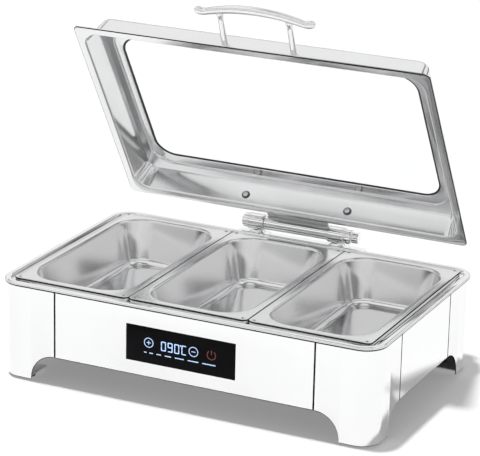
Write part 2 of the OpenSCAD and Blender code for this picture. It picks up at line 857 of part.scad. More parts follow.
// Two turned posts that stand square to the lid's front wall, with saddles for the grip
module handle_posts() {
    color("silver") opened() translate([0, lid_y, lid_z]) difference() {
        handle_places() difference() {
            translate([0, 0, post_base]) {
                cylinder(r1 = 8, r2 = 5, h = 6, $fn = 32);
                cylinder(r = 4.2, h = post_len, $fn = 32);
                translate([0, 0, post_len - 10]) cylinder(r1 = 4.2, r2 = 5.6, h = 12.5, $fn = 32);
            }
            translate([0, 0, -1]) cylinder(r = 2.05, h = 16, $fn = 20);
        }
        grip_place() grip_arch(grip_r + 0.03);
    }
}

// Arched bar across the posts, with ends that curl back
module handle_grip() {
    color("silver") opened() translate([0, lid_y, lid_z]) grip_place() {
        grip_arch(grip_r);
        for (side = [0, 1]) mirror([side, 0, 0]) rotate(90.4 - arc_half)
            translate([arc_r + tip_r, 0, 0]) rotate(180) {
                rotate_extrude(angle = tip_turn, $fn = fine_fn)
                    translate([tip_r, 0]) circle(grip_r - 0.6, $fn = 20);
                rotate(tip_turn) translate([tip_r, 0, 0]) sphere(grip_r, $fn = 20);
            }
    }
}

module handle_screws() {
    color("silver") opened() translate([0, lid_y, lid_z]) handle_places()
        translate([0, 0, -sheet - 0.02]) rotate([180, 0, 0]) screw(4, 2, 2, 14);
}

top_frame();
front_panel();
rear_panel();
side_panel(-1);  // left_panel
side_panel(1);  // right_panel
leg(-1, -1);  // leg_front_left
leg(1, -1);  // leg_front_right
leg(-1, 1);  // leg_rear_left
leg(1, 1);  // leg_rear_right
inner_shell();
foot_plates();
foot_pads();
bottom_cover();
bottom_screws();
heat_plate();
heating_element();
element_clips();
heat_tray();
insulation_mat();
temperature_sensor();
thermal_cutout();
control_glass();
control_housing();
control_board();
display_module();
board_screws();
power_board();
power_standoffs();
power_inlet();
inlet_pins();
inlet_screws();
wiring();
hinge_shelf();
shelf_screws();
hinge_bracket(left_collar);  // hinge_bracket_left
hinge_bracket(right_collar);  // hinge_bracket_right
hinge_shaft();
hinge_cap_left();
hinge_cap_right();
water_pan();
pan(-pitch);  // pan_left
pan(0);  // pan_centre
pan(pitch);  // pan_right
lid_shell();
lid_glass();
glass_gasket();
glass_frame();
hinge_barrel();
damper_cartridge();
hinge_leaf();
leaf_bolts();
leaf_washers();
handle_posts();
handle_grip();
handle_screws();
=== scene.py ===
"""Electric buffet server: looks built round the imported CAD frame, in metres."""
import json
import math

import bmesh
import bpy
from mathutils import Matrix, Vector


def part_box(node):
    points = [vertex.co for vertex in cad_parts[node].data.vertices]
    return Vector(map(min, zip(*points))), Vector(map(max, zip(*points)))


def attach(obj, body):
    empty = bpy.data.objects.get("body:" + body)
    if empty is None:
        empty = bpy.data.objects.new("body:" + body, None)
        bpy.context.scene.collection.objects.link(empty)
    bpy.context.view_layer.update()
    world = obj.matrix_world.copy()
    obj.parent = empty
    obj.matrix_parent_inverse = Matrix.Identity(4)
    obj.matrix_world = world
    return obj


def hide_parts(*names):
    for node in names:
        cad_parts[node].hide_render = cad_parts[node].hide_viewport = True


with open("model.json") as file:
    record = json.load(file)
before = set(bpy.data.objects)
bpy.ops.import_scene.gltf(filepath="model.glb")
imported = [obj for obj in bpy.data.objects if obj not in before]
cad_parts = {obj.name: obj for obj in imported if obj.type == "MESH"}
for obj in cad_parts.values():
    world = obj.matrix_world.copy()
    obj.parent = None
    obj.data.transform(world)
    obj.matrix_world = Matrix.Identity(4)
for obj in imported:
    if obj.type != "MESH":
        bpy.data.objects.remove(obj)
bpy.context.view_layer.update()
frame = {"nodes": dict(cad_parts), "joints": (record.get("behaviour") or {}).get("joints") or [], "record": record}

MM = 0.001

# ---------- sizes, some read from the frame ----


def node_box(node):
    lo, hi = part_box(node)
    return Vector(lo), Vector(hi)


rim_lo, rim_hi = node_box("top_frame")
pan_lo, pan_hi = node_box("pan_centre")
right_lo = node_box("pan_right")[0]
front_lo, front_hi = node_box("front_panel")
rear_hi = node_box("rear_panel")[1]
leg_lo, leg_hi = node_box("leg_front_right")
glass_lo, glass_hi = node_box("control_glass")
bath_lo, bath_hi = node_box("water_pan")

BASE_Y = (rim_lo.y + rim_hi.y) / 2
DECK = pan_hi.z
RIM_W = rim_hi.x - rim_lo.x
RIM_D = rim_hi.y - rim_lo.y
BODY_W = 2 * leg_hi.x
BODY_D = rear_hi.y - front_lo.y
CORNER = 28 * MM  # radius of the body's corners
SHEET = 1 * MM
RIM_OUT = 4 * MM  # how far the rim stands out past the body
BEAD = 10 * MM  # width of the rim's bead
EDGE_R, EDGE_STEPS = 1.3 * MM, 4  # eased lower edge of the body's sheets
LIP_STEPS = 4  # steps round a rolled lip
SKIRT = front_lo.z
PITCH = right_lo.x - pan_lo.x
PAN_W = pan_hi.x - pan_lo.x
PAN_D = pan_hi.y - pan_lo.y
LID_W = 529.5 * MM
LID_D = 338 * MM
LID_H = 45.5 * MM
WINDOW_W = 448 * MM
WINDOW_D = 240 * MM
LEAN = math.radians(11.3)  # the lid's walls lean in by this
LID_FLANGE = 11.75 * MM  # width of the flat flange outside the lid's walls
LID_CORNER = 35 * MM
FLANGE_CORNER = 8 * MM
GLASS_LOW = 40.2 * MM  # underside of the window glass in the closed lid
# The handle's middle, its height on the lid's front wall and half its posts' spacing, in mm
HANDLE_X, HANDLE_UP, POST_X = 14.5, 10, 51

hinge = next(j for j in frame["joints"] if j["name"] == "lid_hinge")
HINGE = Vector(hinge["pos_m"])
LID_OPEN = math.radians(58)
# The closed lid's own frame: x along its width, y to the back, z up from its rim
LID_HOME = Vector((0, HINGE.y - 30.5 * MM - LID_D / 2, DECK + 0.8 * MM))
LID = (
    Matrix.Translation(HINGE)
    @ Matrix.Rotation(-LID_OPEN, 4, "X")
    @ Matrix.Translation(LID_HOME - HINGE)
)

CORNER_STEPS = 20

# ---------- materials ----------


class Nodes:
    """A small helper round one material's node tree."""

    def __init__(self, name):
        self.material = bpy.data.materials.new(name)
        self.material.use_nodes = True
        self.tree = self.material.node_tree
        self.shader = self.tree.nodes["Principled BSDF"]
        self.output = self.tree.nodes["Material Output"]
        self.place = self.add("TexCoord").outputs["Object"]

    def add(self, kind, **settings):
        node = self.tree.nodes.new("ShaderNode" + kind)
        for key, value in settings.items():
            setattr(node, key, value)
        return node

    def link(self, a, b):
        self.tree.links.new(a, b)

    def put(self, value, socket):
        """Feeds a socket from another node's output, or sets it to a plain value."""
        if hasattr(value, "is_linked"):
            self.link(value, socket)
        else:
            socket.default_value = value

    def look(self, name, value):
        self.put(value, self.shader.inputs[name])

    def stretched(self, scale, turn=(0, 0, 0)):
        """Coordinates for a pattern drawn out one way: the smallest scale is the long way."""
        mapping = self.add("Mapping")
        mapping.inputs["Scale"].default_value = scale
        mapping.inputs["Rotation"].default_value = turn
        self.link(self.place, mapping.inputs["Vector"])
        return mapping.outputs["Vector"]

    def noise(self, scale, detail, vector=None):
        node = self.add("TexNoise")
        node.inputs["Scale"].default_value = scale
        node.inputs["Detail"].default_value = detail
        node.inputs["Roughness"].default_value = 0.55
        self.link(vector or self.place, node.inputs["Vector"])
        return node.outputs["Fac"]

    def span(self, value, low, high, start=0.3, end=0.7):
        """The value's run from start to end, laid out from low to high."""
        node = self.add("MapRange")
        node.inputs["From Min"].default_value = start
        node.inputs["From Max"].default_value = end
        node.inputs["To Min"].default_value = low
        node.inputs["To Max"].default_value = high
        self.link(value, node.inputs["Value"])
        return node.outputs["Result"]

    def mix(self, fac, a, b):
        node = self.add("Mix", data_type="RGBA")
        self.link(fac, node.inputs["Factor"])
        for key, value in (("A", a), ("B", b)):
            socket = [s for s in node.inputs if s.name == key and s.type == "RGBA"][0]
            self.put((*value, 1) if isinstance(value, tuple) else value, socket)
        return [s for s in node.outputs if s.type == "RGBA"][0]

    def maths(self, operation, a, b):
        node = self.add("Math", operation=operation)
        for socket, value in zip(node.inputs, (a, b)):
            self.put(value, socket)
        return node.outputs[0]

    def bump(self, height, distance, strength, below=None):
        node = self.add("Bump")
        node.inputs["Distance"].default_value = distance
        node.inputs["Strength"].default_value = strength
        self.link(height, node.inputs["Height"])
        if below is not None:
            self.link(below, node.inputs["Normal"])
        return node.outputs["Normal"]

    def worn(self):
        """One on outer edges, zero on flats."""
        geometry = self.add("NewGeometry")
        return self.span(geometry.outputs["Pointiness"], 0, 1, 0.52, 0.6)


def polished_steel(name, light, rough, grain=(6, 900, 6), scratch=0.00002, wave=0.0):
    """Mirror steel with faint polishing lines, soft smears and lighter edges."""
    n = Nodes(name)
    smear = n.noise(9, 4)
    lines = n.noise(1, 2, n.stretched(grain))
    dark = tuple(c * 0.94 for c in light)
    worn = tuple(min(1, c * 1.04) for c in light)
    base = n.mix(n.span(smear, 0, 1), dark, light)
    base = n.mix(n.worn(), base, worn)
    n.look("Base Color", base)
    n.look("Metallic", 1)
    fine = n.maths("MULTIPLY", n.span(lines, 0.85, 1.2), n.span(smear, rough * 0.8, rough * 1.3))
    n.look("Roughness", fine)
    normal = n.bump(lines, scratch, 0.5)
    if wave:
        normal = n.bump(n.noise(5, 1), wave, 0.6, normal)
    n.look("Normal", normal)
    return n.material


def satin_steel(name, light, rough, grain, scratch=0.00002, metal=1.0):
    """Drawn satin steel: fine grain one way, and a soft cloud in its gloss."""
    n = Nodes(name)
    cloud = n.noise(11, 2)
    lines = n.noise(1, 3, n.stretched(grain))
    base = n.mix(n.span(cloud, 0, 1), tuple(c * 0.95 for c in light), light)
    base = n.mix(n.span(lines, 0, 0.5), base, tuple(c * 0.93 for c in light))
    n.look("Base Color", base)
    n.look("Metallic", metal)
    n.look("Anisotropic", 0.3)
    coarse = n.maths("MULTIPLY", n.span(lines, 0.94, 1.06), n.span(cloud, rough * 0.92, rough * 1.1))
    n.look("Roughness", coarse)
    n.look("Normal", n.bump(lines, scratch, 0.3))
    return n.material


def moulded(name, light, rough, grain=900, depth=0.00008, sheen=0.0, gloss=0.5):
    """Moulded plastic or rubber, or the near-black painted shade on edges and in seams, with a fine even grain."""
    n = Nodes(name)
    patch = n.noise(20, 3)
    grit = n.noise(grain, 2)
    base = n.mix(n.span(patch, 0, 1), tuple(c * 0.8 for c in light), light)
    base = n.mix(n.worn(), base, tuple(min(1, c * 1.8) for c in light))
    n.look("Base Color", base)
    n.look("Sheen Weight", sheen)
    n.look("Specular IOR Level", gloss)
    n.look("Roughness", n.span(patch, rough * 0.85, rough * 1.15))
    n.look("Normal", n.bump(grit, depth, 0.6))
    return n.material


def black_glass(name):
    """Black printed touch glass with faint finger marks."""
    n = Nodes(name)
    marks = n.noise(45, 5, n.stretched((1, 1, 1.6), (0, 0.4, 0)))
    base = n.mix(n.span(marks, 0, 1), (0.002, 0.002, 0.003), (0.004, 0.004, 0.005))
    n.look("Base Color", base)
    n.look("Roughness", n.span(marks, 0.05, 0.16))
    n.look("Specular IOR Level", 0.06)
    n.look("Normal", n.bump(n.noise(300, 2), 0.00001, 0.3))
    return n.material


def clear_glass(name):
    """Thin clear glass: it reflects more at a glancing angle and has a trace of haze."""
    n = Nodes(name)
    clear = n.add("BsdfTransparent")
    haze = n.mix(n.span(n.noise(18, 3), 0, 1), (0.985, 0.992, 0.99), (0.995, 0.998, 0.997))
    n.link(haze, clear.inputs["Color"])
    gloss = n.add("BsdfGlossy")
    n.link(n.span(n.noise(40, 4), 0.01, 0.05), gloss.inputs["Roughness"])
    edge = n.add("Fresnel")
    edge.inputs["IOR"].default_value = 1.45
    outside = n.maths("SUBTRACT", 1, n.add("NewGeometry").outputs["Backfacing"])
    blend = n.add("MixShader")
    n.link(n.maths("MULTIPLY", n.maths("MULTIPLY", edge.outputs[0], outside), 0.5), blend.inputs[0])
    n.link(clear.outputs[0], blend.inputs[1])
    n.link(gloss.outputs[0], blend.inputs[2])
    n.link(blend.outputs[0], n.output.inputs["Surface"])
    return n.material


def lit(name, light, strength):
    """Lit display segment, slightly uneven like a real lamp behind a mask."""
    n = Nodes(name)
    uneven = n.span(n.noise(260, 2), 0.85, 1)
    base = n.mix(uneven, tuple(c * 0.75 for c in light), light)
    n.look("Emission Color", base)
    n.look("Base Color", base)
    n.look("Emission Strength", strength)
    n.look("Roughness", 0.3)
    return n.material


def board_green(name):
    """Circuit board with a grid of pale pads and darker tracks."""
    n = Nodes(name)
    cells = n.add("TexVoronoi")
    cells.inputs["Scale"].default_value = 240
    n.link(n.place, cells.inputs["Vector"])
    pads = n.span(cells.outputs["Distance"], 1, 0, 0.1, 0.25)
    tracks = n.span(n.noise(1, 1, n.stretched((120, 120, 500))), 0, 1, 0.48, 0.52)
    base = n.mix(tracks, (0.01, 0.09, 0.04), (0.02, 0.14, 0.06))
    base = n.mix(pads, base, (0.7, 0.66, 0.5))
    n.look("Base Color", base)
    n.look("Roughness", n.span(tracks, 0.35, 0.5, 0, 1))
    n.look("Normal", n.bump(pads, 0.0001, 0.5))
    return n.material


def fibre(name):
    """Pressed mineral fibre mat."""
    n = Nodes(name)
    strands = n.noise(1, 5, n.stretched((220, 900, 220), (0, 0, 0.6)))
    base = n.mix(n.span(strands, 0, 1), (0.6, 0.57, 0.5), (0.85, 0.83, 0.76))
    n.look("Base Color", base)
    n.look("Roughness", n.span(strands, 0.85, 1.0))
    n.look("Normal", n.bump(strands, 0.0006, 0.8))
    return n.material


def studio_floor(name):
    """Pale diffusing sheet, lit evenly from below so that a shadow on it stays light."""
    n = Nodes(name)
    cloud = n.noise(0.6, 2)
    base = n.mix(n.span(cloud, 0, 1), (0.59, 0.59, 0.59), (0.61, 0.61, 0.61))
    n.look("Base Color", base)
    n.look("Roughness", n.span(cloud, 0.85, 0.95))
    n.look("Emission Strength", n.span(cloud, 0.245, 0.255))
    n.look("Emission Color", (1, 1, 1, 1))
    n.look("Specular IOR Level", 0)
    return n.material


STEEL = (0.88, 0.882, 0.887)
MATERIALS = {name: maker(name, *settings) for name, maker, *settings in (
    ("polished_steel", polished_steel, STEEL, 0.05, (5, 5, 700), 0.00001, 0.0004),
    ("rim_steel", polished_steel, STEEL, 0.09, (500, 500, 12), 0.00001),
    ("lid_steel", polished_steel, (0.85, 0.852, 0.857), 0.12, (6, 420, 420), 0.00001, 0.0002),
    ("pan_steel", satin_steel, (0.79, 0.79, 0.795), 0.15, (300, 9, 9), 0.000004),
    # inner_steel is near black as painted shade: the real inner sheet is dull grey, darkened so that the gaps
    # where it shows read as shadow
    ("inner_steel", satin_steel, (0.05, 0.05, 0.052), 0.5, (14, 14, 500)),
    # near black painted shade: dark lines along sheet edges and lips, the shell seen through the seams between
    # sheets, and the wells of the pan stops; the real edges are bare steel
    ("edge_steel", moulded, (0.006, 0.006, 0.006), 0.8, 600, 0.00002, 0.0, 0.02),
    ("hinge_steel", polished_steel, STEEL, 0.06, (900, 40, 40), 0.00001),
    ("fastener_steel", satin_steel, (0.72, 0.72, 0.73), 0.25, (300, 300, 60)),
    ("washer_steel", satin_steel, (0.12, 0.12, 0.125), 0.35, (300, 300, 60)),
    ("rod_steel", polished_steel, STEEL, 0.04, (60, 60, 900), 0.00001),
    ("leaf_steel", satin_steel, (0.95, 0.95, 0.95), 0.5, (60, 600, 60), 0.00002, 0.15),
    ("gusset_steel", satin_steel, (0.75, 0.75, 0.76), 0.45, (14, 14, 500)),
    ("grip_steel", polished_steel, STEEL, 0.2, (900, 60, 60), 0.00001),
    ("plate_aluminium", satin_steel, (0.8, 0.81, 0.82), 0.35, (12, 500, 500)),
    ("element_steel", satin_steel, (0.2, 0.19, 0.19), 0.45, (60, 60, 60)),
    ("brass_parts", satin_steel, (0.78, 0.58, 0.27), 0.28, (200, 200, 40)),
    ("black_rubber", moulded, (0.02, 0.02, 0.02), 0.7, 700, 0.0002, 0.1),
    ("touch_glass", black_glass),
    ("black_plastic", moulded, (0.03, 0.03, 0.032), 0.45),
    ("green_board", board_green),
    ("white_fibre", fibre),
    ("lead_cover", moulded, (0.5, 0.06, 0.04), 0.5, 500),
    ("clear_glass", clear_glass),
)}
WHITE_LIT = lit("white_lit", (0.5, 0.68, 1.0), 0.62)
RED_LIT = lit("red_lit", (0.16, 0.022, 0.018), 0.3)

# ---------- mesh helpers ----------


def put_in_scene(name, data):
    obj = bpy.data.objects.new(name, data)
    bpy.context.scene.collection.objects.link(obj)
    return obj


def make(name, points, faces, material, matrix=None, angle=35):
    """A mesh object from points and faces, with its normals turned outwards. Edges sharper than
    the angle stay sharp."""
    mesh = bpy.data.meshes.new(name)
    mesh.from_pydata([tuple(p) for p in points], [], faces)
    bm = bmesh.new()
    bm.from_mesh(mesh)
    bmesh.ops.remove_doubles(bm, verts=bm.verts, dist=1e-6)
    bmesh.ops.recalc_face_normals(bm, faces=bm.faces)
    bm.to_mesh(mesh)
    bm.free()
    if matrix is not None:
        mesh.transform(matrix)
    obj = put_in_scene(name, mesh)
    mesh.materials.append(MATERIALS[material] if isinstance(material, str) else material)
    for face in mesh.polygons:
        face.use_smooth = True
    mesh.set_sharp_from_angle(angle=math.radians(angle))
    return obj


def rounded(w, d, r, z, steps=CORNER_STEPS, shift=(0, 0)):
    """The points of a rounded rectangle at one height."""
    points = []
    for k, (sx, sy) in enumerate(((1, 1), (-1, 1), (-1, -1), (1, -1))):
        cx, cy = sx * (w / 2 - r) + shift[0], sy * (d / 2 - r) + shift[1]
        for i in range(steps + 1):
            a = math.radians(90 * k + 90 * i / steps)
            points.append(Vector((cx + r * math.cos(a), cy + r * math.sin(a), z)))
    return points


def skin(loops, closed=False, caps=False):
    """Points and faces of a skin through loops of equal length. caps closes both ends."""
    count = len(loops[0])
    points = [p for one in loops for p in one]
    faces = []
    turns = len(loops) if closed else len(loops) - 1
    for k in range(turns):
        a, b = k * count, ((k + 1) % len(loops)) * count
        for i in range(count):
            j = (i + 1) % count
            faces.append((a + i, a + j, b + j, b + i))
    if caps:
        faces.append(tuple(range(count - 1, -1, -1)))
        last = (len(loops) - 1) * count
        faces.append(tuple(range(last, last + count)))
    return points, faces


def bridge(name, loops, material, matrix=None, closed=False, caps=False, angle=35, painted_dark=None):
    """An object skinned through loops. A test of (k, i), if given, picks the faces coloured near black
    as painted shade: those between loops k and k + 1 that start at point i."""
    points, faces = skin(loops, closed, caps)
    obj = make(name, points, faces, material, matrix, angle)
    if painted_dark:
        obj.data.materials.append(MATERIALS["edge_steel"])
        count = len(loops[0])
        for n, face in enumerate(obj.data.polygons):
            if painted_dark(n // count, n % count):
                face.material_index = 1
    return obj


def gather(name, skins, material, matrix=None, angle=35):
    """One object from several closed skins, each with its own placing matrix."""
    points, faces = [], []
    for (some, sides), place in skins:
        start = len(points)
        points += [place @ p for p in some]
        faces += [tuple(start + i for i in face) for face in sides]
    return make(name, points, faces, material, matrix, angle)


def arc(cx, cz, r, a0, a1, steps=6):
    """Points of an arc in a section, in degrees."""
    out = []
    for i in range(steps + 1):
        a = math.radians(a0 + (a1 - a0) * i / steps)
        out.append((cx + r * math.cos(a), cz + r * math.sin(a)))
    return out


def swept(w, d, r, section, base=0.0):
    """Loops that carry a section round a rounded rectangle. Section x is measured out from its
    edge and z up from base."""
    return [rounded(w + 2 * x, d + 2 * x, max(r + x, 0.5 * MM), base + z) for x, z in section]


HEX = 6


def turned(profile, steps=48, closed=False):
    """A skin turned about Z from (radius, height) points in millimetres. A third value of HEX
    makes that ring a hexagon, and a value under 1 pulls every other pair of points in to that
    share."""
    loops = []
    for radius, height, *form in profile:
        ring = []
        for i in range(steps):
            a = 2 * math.pi * i / steps
            r = radius * MM
            if form and form[0] == HEX:
                r *= math.cos(math.pi / 6) / math.cos(a % (math.pi / 3) - math.pi / 6)
            elif form and i % 4 > 1:
                r *= form[0]
            ring.append(Vector((r * math.cos(a), r * math.sin(a), height * MM)))
        loops.append(ring)
    return skin(loops, closed, not closed)


def tube(name, path, sizes, material, matrix):
    """A round bar along a path in the XY plane, with its radius at each point of it."""
    steps, side = 28, Vector((0, 0, 1))
    loops = []
    for k, p in enumerate(path):
        along = (path[min(k + 1, len(path) - 1)] - path[max(k - 1, 0)]).normalized()
        across = side.cross(along).normalized()
        ring = []
        for i in range(steps):
            a = 2 * math.pi * i / steps
            ring.append(p + sizes[k] * (across * math.cos(a) + side * math.sin(a)))
        loops.append(ring)
    return bridge(name, loops, material, matrix, caps=True, angle=60)


def ride(obj, body, *nodes, slot):
    """Stands the piece in for the named CAD nodes and fixes it to its body. slot is not used."""
    if nodes:
        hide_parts(*nodes)
    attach(obj, body)


BASE = Matrix.Translation((0, BASE_Y, 0))
ROOT = "root"

# ---------- body sheets ----------


def rim_section():
    """The rim in section, from its rolled lower lip over the bead to the ledge and back."""
    low, top, ledge = rim_lo.z, DECK - 1.2 * MM, DECK - 5 * MM
    t, turn, lip = SHEET, 3 * MM, 2.6 * MM
    inner = -BEAD - 12 * MM
    outer_bend, inner_bend = (-turn, top - turn), (-BEAD + turn, top - turn)
    over = arc(*outer_bend, turn, 0, 90, 8) + arc(*inner_bend, turn, 90, 172, 8)
    under = arc(*inner_bend, turn - t, 172, 90, 8) + arc(*outer_bend, turn - t, 90, 0, 8)
    return (
        arc(-lip, low + lip, lip, -90, 0, LIP_STEPS)
        + over
        + [(-BEAD + 0.3 * MM, ledge + 0.2 * MM), (inner, ledge), (inner, ledge - t)]
        + [(-BEAD + t, ledge - t)]
        + under
        + [(-t - lip, low + t), (-RIM_OUT, low + t), (-RIM_OUT, low)]
    )


def build_rim():
    loops = swept(RIM_W, RIM_D, CORNER + RIM_OUT, rim_section())
    # The rolled lower lip is coloured near black: painted shade under the rim.
    rim = bridge("rim", loops, "rim_steel", BASE, closed=True, angle=30, painted_dark=lambda k, i: k < LIP_STEPS)
    ride(rim, ROOT, "top_frame", slot="polished_steel")


def edge_curve():
    """Depth into the sheet and rise above its lower edge, round the eased outer edge."""
    return [(EDGE_R * (1 - math.sin(t)), EDGE_R * (1 - math.cos(t)))
            for t in (math.pi / 2 * i / EDGE_STEPS for i in range(EDGE_STEPS + 1))]


def build_sheet(name, node, out, opening=None):
    """A flat upright panel, its eased lower edge and side edges coloured near black as painted
    shade. out is its outward direction, and opening is its window's (left, right, bottom, top)."""
    lo, hi = node_box(node)
    side = Vector((-out.y, out.x, 0))
    middle = (lo + hi) / 2
    half = abs((hi - lo).dot(side)) / 2 - 0.6 * MM
    thick = abs((hi - lo).dot(out))
    face = middle + out * thick / 2

    def place(u, inset, z):
        return Vector((0, 0, z)) + Vector((face.x, face.y, 0)) + side * u - out * inset

    us, zs = [-half, half], [hi.z]
    if opening:
        left, right, bottom, top = opening
        us, zs = [-half, left, right, half], [bottom, top, hi.z]
    levels = [(inset, lo.z + rise) for inset, rise in edge_curve()]
    levels += [(0, z) for z in zs] + [(thick, z) for z in reversed(zs)]
    levels += [(thick, lo.z + EDGE_R), (thick, lo.z)]
    loops = [[place(u, inset, z) for inset, z in levels] for u in us]
    points, faces = skin(loops, caps=True)
    if opening:
        # takes out the front and back faces over the window, and lines it between them
        a = len(levels) + EDGE_STEPS + 1
        b = a + len(levels)
        faces = [f for n, f in enumerate(faces) if n not in (a, a + 4)]
        front, back = [a, a + 1, b + 1, b], [a + 5, a + 4, b + 4, b + 5]
        for n in range(4):
            m = (n + 1) % 4
            faces.append((front[n], front[m], back[m], back[n]))
    obj = make(name, points, faces, "polished_steel")
    obj.data.materials.append(MATERIALS["edge_steel"])
    # Painted shade: the eased lower edge and the side edges at the seams turn near black.
    for part in obj.data.polygons:
        at_side = abs(abs((part.center - middle).dot(side)) - half) < 1e-5
        if part.center.z < lo.z + EDGE_R * 0.98 or at_side and abs(part.normal.dot(side)) > 0.7:
            part.material_index = 1
    ride(obj, ROOT, node, slot="polished_steel")


def build_panels():
    gap = 0.3 * MM
    middle = (front_lo.x + front_hi.x) / 2
    left, right = glass_lo.x - gap - middle, glass_hi.x + gap - middle
    opening = (left, right, glass_lo.z - gap, glass_hi.z + gap)
    build_sheet("front_skin", "front_panel", Vector((0, -1, 0)), opening)
    build_sheet("left_skin", "left_panel", Vector((-1, 0, 0)))
    build_sheet("right_skin", "right_panel", Vector((1, 0, 0)))


def leg_outline():
    """Stations round one leg from the front seam to the side seam, each (x, y, outward x,
    outward y, lowest z). A quarter arch leads from each seam down to the foot."""
    seam_x, seam_y = leg_lo.x, leg_hi.y - BASE_Y
    half_w, half_d = BODY_W / 2, BODY_D / 2
    radius, steps = 36 * MM, 16
    nip = 0.02 * MM  # the arch's end and the foot's edge are this far apart
    foot, spring = leg_lo.z, SKIRT - radius
    arch = [(radius * math.sin(t), spring + radius * math.cos(t))
            for t in (math.radians(90 * i / steps) for i in range(steps + 1))]
    rows = [(seam_x + along, -half_d, 0, -1, z) for along, z in arch]
    rows.append((seam_x + radius + nip, -half_d, 0, -1, foot))
    for i in range(CORNER_STEPS + 1):
        t = math.radians(90 * i / CORNER_STEPS)
        out = (math.sin(t), -math.cos(t))
        x = half_w - CORNER + CORNER * out[0]
        y = -half_d + CORNER + CORNER * out[1]
        rows.append((x, y, out[0], out[1], foot))
    rows.append((half_w, seam_y - radius - nip, 1, 0, foot))
    rows += [(half_w, seam_y - along, 1, 0, z) for along, z in reversed(arch)]
    return rows


def build_legs():
    top = leg_hi.z
    loops = []
    for x, y, nx, ny, low in leg_outline():
        xi, yi = x - nx * SHEET, y - ny * SHEET
        loop = [Vector((x - nx * inset, y - ny * inset, low + rise)) for inset, rise in edge_curve()]
        loop += [Vector((x, y, top)), Vector((xi, yi, top))]
        loop += [Vector((xi, yi, low + EDGE_R)), Vector((xi, yi, low))]
        loops.append(loop)
    last, stations = len(loops[0]) - 1, len(loops) - 1
    for sx, side in ((-1, "left"), (1, "right")):
        for sy, end in ((1, "front"), (-1, "rear")):
            flip = Matrix.Diagonal((sx, sy, 1, 1))
            flipped = [[flip @ p for p in loop] for loop in loops]
            name = f"leg_{end}_{side}"
            # The eased lower edge, the underside and the seam ends are coloured near black: painted shade.
            shape = bridge(name + "_skin", flipped, "polished_steel", BASE, caps=True, angle=30,
                           painted_dark=lambda k, i: i < EDGE_STEPS or i == last or k >= stations)
            ride(shape, ROOT, name, slot="polished_steel")


# ---------- pans ----------


def bowl_section(depth, foot_r, t, draft=math.radians(12), edge_r=4 * MM):
    """Upper and lower skin of a drawn bowl, from its floor up to the start of its flange."""
    run = (depth - (edge_r + foot_r) * (1 - math.sin(draft))) / math.cos(draft)
    nx, nz = -math.cos(draft), math.sin(draft)
    fx = (edge_r + foot_r) * nx - run * math.sin(draft)
    fz = -edge_r + (edge_r + foot_r) * nz - run * math.cos(draft)
    d = math.degrees(draft)
    upper = arc(fx, fz, foot_r, -90, -d, 10) + arc(0, -edge_r, edge_r, 180 - d, 90, 8)
    lower = arc(0, -edge_r, edge_r - t, 90, 180 - d, 8) + arc(fx, fz, foot_r + t, -d, -90, 10)
    return upper, lower


def build_bowl(name, node, x, size, opening, corner, top, depth, foot_r, t, lip, flange_r, groove):
    """A drawn pan with a flat flange whose lip turns down. groove presses a line in the flange."""
    upper, lower = bowl_section(depth, foot_r, t)
    turn = 0.8 * MM
    edge = []
    if groove:
        edge = [(-5 * MM, 0), (-4.6 * MM, -0.35 * MM), (-4 * MM, -0.35 * MM), (-3.6 * MM, 0)]
    edge += [(-turn * 3, 0), (-turn, 0), (-turn * 0.3, -turn * 0.3)]
    first = len(upper) + len(edge) - 1
    edge += [(0, -turn), (0, -turn * 2.6), (0, -lip), (-t, -lip), (-t, -t)]
    loops = swept(*opening, corner, upper, top) + swept(*size, flange_r, edge, top)
    loops += swept(*opening, corner, lower, top)
    # The outer bend of the flange and the top of its lip are coloured near black: painted shade of the gap round
    # the flange.
    pan = bridge(name, loops, "pan_steel", Matrix.Translation((x, BASE_Y, 0)), caps=True, angle=40,
                 painted_dark=lambda k, i: first <= k < first + 2)
    ride(pan, node, node, slot="pan_steel")


def build_pans():
    opening = (PAN_W - 20 * MM, PAN_D - 21 * MM)
    for k, side in ((-1, "left"), (0, "centre"), (1, "right")):
        build_bowl(f"food_pan_{side}", f"pan_{side}", k * PITCH, (PAN_W, PAN_D), opening, 45 * MM,
                   DECK, 65 * MM, 12 * MM, 0.9 * MM, 3.95 * MM, 8 * MM, True)
    w, d = bath_hi.x - bath_lo.x, bath_hi.y - bath_lo.y
    build_bowl("bath", "water_pan", 0, (w, d), (w - 24 * MM, d - 22 * MM), 48 * MM,
               bath_hi.z, 72 * MM, 14 * MM, 1 * MM, 1 * MM, 52 * MM, False)


# ---------- lid ----------


def lid_section():
    """Upper and lower skin of the pressed lid, as (out from its rim edge, up, corner radius)."""
    t, bend = SHEET, 6 * MM
    turn = bend + t
    flange = -LID_FLANGE
    run = (LID_H - turn * (1 - math.sin(LEAN))) / math.cos(LEAN)
    sx = flange - run * math.sin(LEAN) - turn * math.cos(LEAN)
    sz = run * math.cos(LEAN) - turn * math.sin(LEAN)
    lean = math.degrees(LEAN)
    foot, roll = 2.2 * MM, 1.1 * MM
    fx = flange + foot
    edge = arc(-roll, roll, roll, -90, 0, LIP_STEPS)
    edge += [(0, 2.6 * MM), (-0.4 * MM, 3 * MM), (-t, 2.7 * MM), (-t, t)]
    wall = arc(fx, t + foot, foot, -90, -180 + lean, 5) + arc(sx, sz, turn, lean, 90, 8)
    under = arc(sx, sz, bend, 90, lean, 8)
    under += arc(fx - 0.1 * MM, foot + t, foot + t, -180 + lean, -90, 5)
    over = [(x, z, max(FLANGE_CORNER + x, 0.5 * MM)) for x, z in edge]
    over += [(x, z, LID_CORNER + x) for x, z in wall]
    return over, [(x, z, LID_CORNER + x) for x, z in under]


